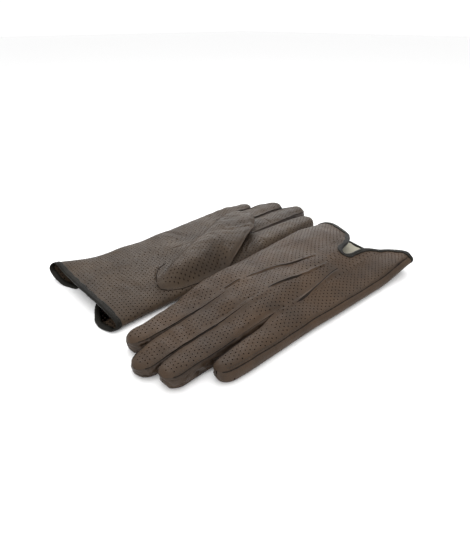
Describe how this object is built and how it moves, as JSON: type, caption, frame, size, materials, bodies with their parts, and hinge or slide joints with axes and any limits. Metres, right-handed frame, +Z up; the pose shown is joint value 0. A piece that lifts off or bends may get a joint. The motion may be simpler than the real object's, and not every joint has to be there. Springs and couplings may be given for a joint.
{
  "type": "pair of driving gloves",
  "caption": "Pair of lined, perforated leather driving gloves, one palm up and one back up, with bound cuffs, a vent and plain fourchettes.",
  "frame": {"origin": "centre of the base of the pair as it lies on a table", "axes": "+X along the right glove from cuff to fingertips, +Y to the right glove's little-finger side, +Z up from the table"},
  "size_m": [0.257, 0.2036, 0.0281],
  "materials": {
    "perforated_leather": "soft matt brown leather, punched all over with staggered rows of small round holes",
    "plain_leather": "the same brown leather without holes, a little glossier along its folds",
    "bound_edge": "thin dark leather binding, folded over the cut edge",
    "knit_lining": "fine pale knitted lining"
  },
  "bodies": {
    "right_hand": {"right_back_panel": "perforated_leather", "right_palm_panel": "perforated_leather", "right_hand_lining": "knit_lining", "right_cuff_binding": "bound_edge", "right_back_point_index": "plain_leather", "right_back_point_middle": "plain_leather", "right_back_point_ring": "plain_leather", "right_fourchette_index_middle": "plain_leather", "right_fourchette_middle_ring": "plain_leather", "right_fourchette_ring_little": "plain_leather"},
    "right_index": {"right_index_back": "perforated_leather", "right_index_fourchette_outward": "plain_leather", "right_index_lining": "knit_lining", "right_index_palm": "perforated_leather"},
    "right_middle": {"right_middle_back": "perforated_leather", "right_middle_fourchette_outward": "plain_leather", "right_middle_fourchette_thumbward": "plain_leather", "right_middle_lining": "knit_lining", "right_middle_palm": "perforated_leather"},
    "right_ring": {"right_ring_back": "perforated_leather", "right_ring_fourchette_outward": "plain_leather", "right_ring_fourchette_thumbward": "plain_leather", "right_ring_lining": "knit_lining", "right_ring_palm": "perforated_leather"},
    "right_little": {"right_little_back": "perforated_leather", "right_little_fourchette_thumbward": "plain_leather", "right_little_lining": "knit_lining", "right_little_palm": "perforated_leather"},
    "right_thumb": {"right_thumb_leather": "perforated_leather", "right_thumb_lining": "knit_lining"},
    "left_hand": {"left_back_panel": "perforated_leather", "left_palm_panel": "perforated_leather", "left_hand_lining": "knit_lining", "left_cuff_binding": "bound_edge", "left_back_point_index": "plain_leather", "left_back_point_middle": "plain_leather", "left_back_point_ring": "plain_leather", "left_fourchette_index_middle": "plain_leather", "left_fourchette_middle_ring": "plain_leather", "left_fourchette_ring_little": "plain_leather"},
    "left_index": {"left_index_back": "perforated_leather", "left_index_fourchette_outward": "plain_leather", "left_index_lining": "knit_lining", "left_index_palm": "perforated_leather"},
    "left_middle": {"left_middle_back": "perforated_leather", "left_middle_fourchette_outward": "plain_leather", "left_middle_fourchette_thumbward": "plain_leather", "left_middle_lining": "knit_lining", "left_middle_palm": "perforated_leather"},
    "left_ring": {"left_ring_back": "perforated_leather", "left_ring_fourchette_outward": "plain_leather", "left_ring_fourchette_thumbward": "plain_leather", "left_ring_lining": "knit_lining", "left_ring_palm": "perforated_leather"},
    "left_little": {"left_little_back": "perforated_leather", "left_little_fourchette_thumbward": "plain_leather", "left_little_lining": "knit_lining", "left_little_palm": "perforated_leather"},
    "left_thumb": {"left_thumb_leather": "perforated_leather", "left_thumb_lining": "knit_lining"}
  },
  "joints": [
    {"name": "right_index_bend", "type": "hinge", "parent": "right_hand", "child": "right_index", "pos_m": [0.06004, 0.01223, 0.01523], "axis": [-0.0239, -0.9997, 0], "range_deg": [0, 80]},
    {"name": "right_middle_bend", "type": "hinge", "parent": "right_hand", "child": "right_middle", "pos_m": [0.06561, 0.0361, 0.01521], "axis": [-0.0239, -0.9997, 0], "range_deg": [0, 80]},
    {"name": "right_ring_bend", "type": "hinge", "parent": "right_hand", "child": "right_ring", "pos_m": [0.06415, 0.05864, 0.01524], "axis": [-0.0239, -0.9997, 0], "range_deg": [0, 80]},
    {"name": "right_little_bend", "type": "hinge", "parent": "right_hand", "child": "right_little", "pos_m": [0.05466, 0.07988, 0.01517], "axis": [-0.0239, -0.9997, 0], "range_deg": [0, 80]},
    {"name": "right_thumb_swing", "type": "hinge", "parent": "right_hand", "child": "right_thumb", "pos_m": [-0.03746, -0.00034, 0.01], "axis": [0.9997, -0.0239, 0], "range_deg": [0, 60]},
    {"name": "left_index_bend", "type": "hinge", "parent": "left_hand", "child": "left_index", "pos_m": [-0.06611, -0.02379, 0.01796], "axis": [-0.0239, 0.9997, 0], "range_deg": [0, 80]},
    {"name": "left_middle_bend", "type": "hinge", "parent": "left_hand", "child": "left_middle", "pos_m": [-0.07063, -0.0439, 0.01537], "axis": [-0.0239, 0.9997, 0], "range_deg": [0, 80]},
    {"name": "left_ring_bend", "type": "hinge", "parent": "left_hand", "child": "left_ring", "pos_m": [-0.06816, -0.06355, 0.01639], "axis": [-0.0239, 0.9997, 0], "range_deg": [0, 80]},
    {"name": "left_little_bend", "type": "hinge", "parent": "left_hand", "child": "left_little", "pos_m": [-0.0577, -0.08291, 0.01575], "axis": [-0.0239, 0.9997, 0], "range_deg": [0, 80]},
    {"name": "left_thumb_swing", "type": "hinge", "parent": "left_hand", "child": "left_thumb", "pos_m": [0.03068, -0.00657, 0.0063], "axis": [0.9997, 0.0239, 0], "range_deg": [0, 60]},
    {"name": "left_glove_lift_off", "type": "slide", "parent": "right_hand", "child": "left_hand", "axis": [0, 0, 1], "range_m": [0, 0.12]}
  ]
}
